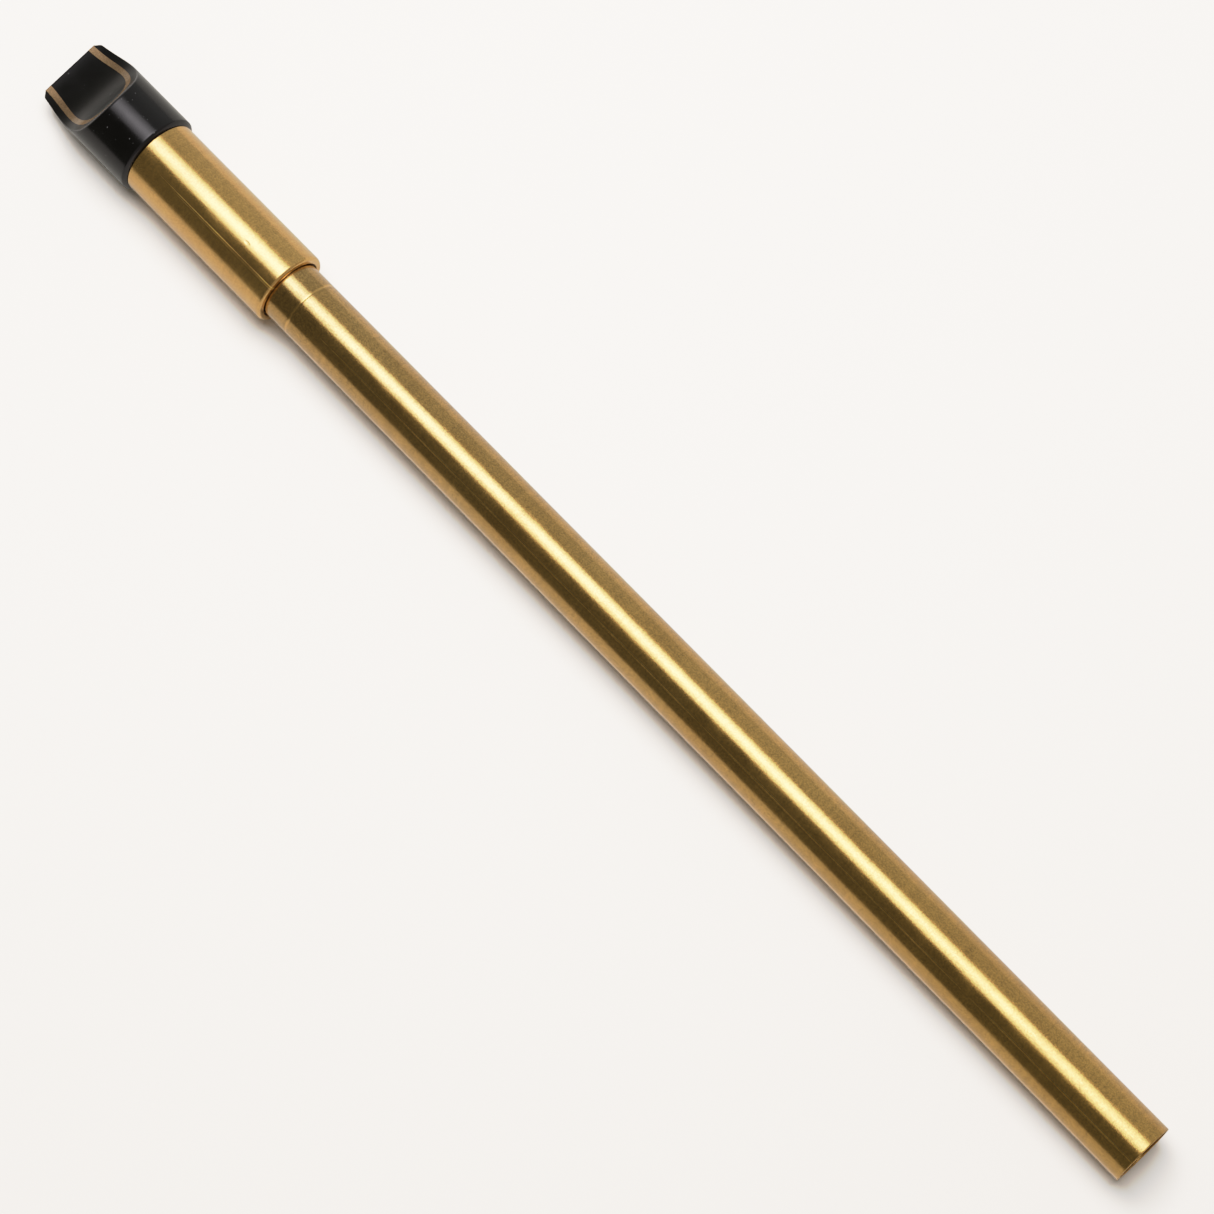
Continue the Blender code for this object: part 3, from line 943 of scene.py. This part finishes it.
def fade_to_edges(data):
    """Makes an area light fade on all sides of its brightest spot, as a softbox does."""
    data.use_nodes = True
    n = Nodes(data.node_tree)
    across_light = n.node("ShaderNodeNewGeometry").outputs["Parametric"]
    brightest = (0.5 + SOFTBOX_BRIGHTEST / SOFTBOX_LENGTH, 0.5, 0.0)
    size = (SOFTBOX_STRETCH * SOFTBOX_LENGTH, SOFTBOX_WIDTH, 0.0)
    metres = n.vector_math("MULTIPLY", n.vector_math("SUBTRACT", across_light, brightest), size)
    square = n.vector_math("DOT_PRODUCT", metres, metres, result="Value")
    half_square = SOFTBOX_HALF ** 2
    fade = n.math("DIVIDE", half_square, n.math("ADD", square, half_square))
    emission = next(node for node in n.tree.nodes if node.type == "EMISSION")
    n.feed(fade, emission.inputs["Strength"])


def area_light(name, radiance):
    """A rectangular light over the mouth half, facing the whistle."""
    data = bpy.data.lights.new(name, "AREA")
    data.shape = "RECTANGLE"
    data.size = SOFTBOX_LENGTH
    data.size_y = SOFTBOX_WIDTH
    data.energy = radiance * math.pi * SOFTBOX_LENGTH * SOFTBOX_WIDTH
    light = new_object(name, data)
    towards = Vector((0, math.sin(SOFTBOX_ANGLE), math.cos(SOFTBOX_ANGLE)))
    side = Vector((1, 0, 0))
    middle = Vector((SOFTBOX_X, 0, AXIS_Z)) + towards * SOFTBOX_DISTANCE
    facing = Matrix((side, towards.cross(side), towards)).transposed().to_4x4()
    light.matrix_world = Matrix.Translation(middle) @ facing
    light.visible_camera = False
    fade_to_edges(data)
    return light


def make_room():
    """Dim room: a pale wall on the +Y side, a dark one on the -Y side. The camera sees pale paper instead."""
    world = bpy.data.worlds.new("studio")
    bpy.context.scene.world = world
    world.use_nodes = True
    n = Nodes(world.node_tree)
    x, y = n.split(n.node("ShaderNodeTexCoord").outputs["Generated"])[:2]
    wall = n.node("ShaderNodeValToRGB")
    n.feed(n.math("ADD", n.math("MULTIPLY", y, 0.5), 0.5), wall.inputs[0])
    stops = wall.color_ramp.elements
    for index, (position, colour) in enumerate(ROOM_COLOURS):
        stop = stops[index] if index < len(stops) else stops.new(position)
        stop.position = position
        stop.color = colour
    room = n.tree.nodes["Background"]
    n.feed(n.mix(n.ramp(x, *ROOM_FOOT_FADE), wall.outputs[0], ROOM_FOOT_SIDE), room.inputs["Color"])
    paper = n.node("ShaderNodeBackground")
    n.feed(PAPER, paper.inputs["Color"])
    either = n.node("ShaderNodeMixShader")
    n.feed(n.node("ShaderNodeLightPath").outputs["Is Camera Ray"], either.inputs[0])
    n.feed(room.outputs[0], either.inputs[1])
    n.feed(paper.outputs[0], either.inputs[2])
    n.feed(either.outputs[0], n.tree.nodes["World Output"].inputs[0])


def film_response():
    """Rolls bright colours off softly, as a camera does, so that the highlight stays cream and not yellow."""
    view = bpy.context.scene.view_settings
    view.view_transform = "Standard"
    view.use_curve_mapping = True
    mapping = view.curve_mapping
    mapping.white_level = (FILM_WHITE, FILM_WHITE, FILM_WHITE)
    curve = mapping.curves[3]
    for light, tone in FILM_CURVE:
        curve.points.new(light / FILM_WHITE, tone)
    mapping.update()


# ---------------------------------------------------------------- build

make_camera()
make_floor()
make_room()
area_light("softbox", SOFTBOX_RADIANCE)
fill = area_light("floor_fill", FILL_RADIANCE)
fill.visible_glossy = False
film_response()

body_brass = brass("body_brass", BODY_TONES, rough=0.21, grain=0.24, mottle=0.30,
                   lines=BODY_DRAW_LINES_AND_GLINTS, marks_and_painted_light=ring_tone_and_painted_shine)
head_brass = brass("head_brass", HEAD_TONES, rough=0.22, grain=0.13, mottle=0.21,
                   lines=HEAD_DRAW_LINES_AND_GLINTS, marks_and_painted_light=lip_painted_shade, relief=dent)
cut_brass = brass("cut_brass", CUT_TONES, rough=0.55, grain=0.3, mottle=0.2)
plastic = black_plastic("black_plastic", rough=0.17, line_strength=0.08)

beak_drum = drum()
finish_piece(make_body(), "body_tube", "body", body_brass)
finish_piece(make_liner(), "socket_liner", "liner", head_brass)
finish_piece(make_barrel(), "tuning_barrel", "head", head_brass)
finish_piece(make_head_tube(beak_drum), "head_tube", "head", cut_brass)
finish_piece(make_plug(beak_drum), "fipple_plug", "head", plastic)
finish_piece(make_sleeve(), "mouthpiece_sleeve", "head", plastic, SLEEVE_SHARP_ANGLE)
bpy.data.objects.remove(beak_drum, do_unlink=True)
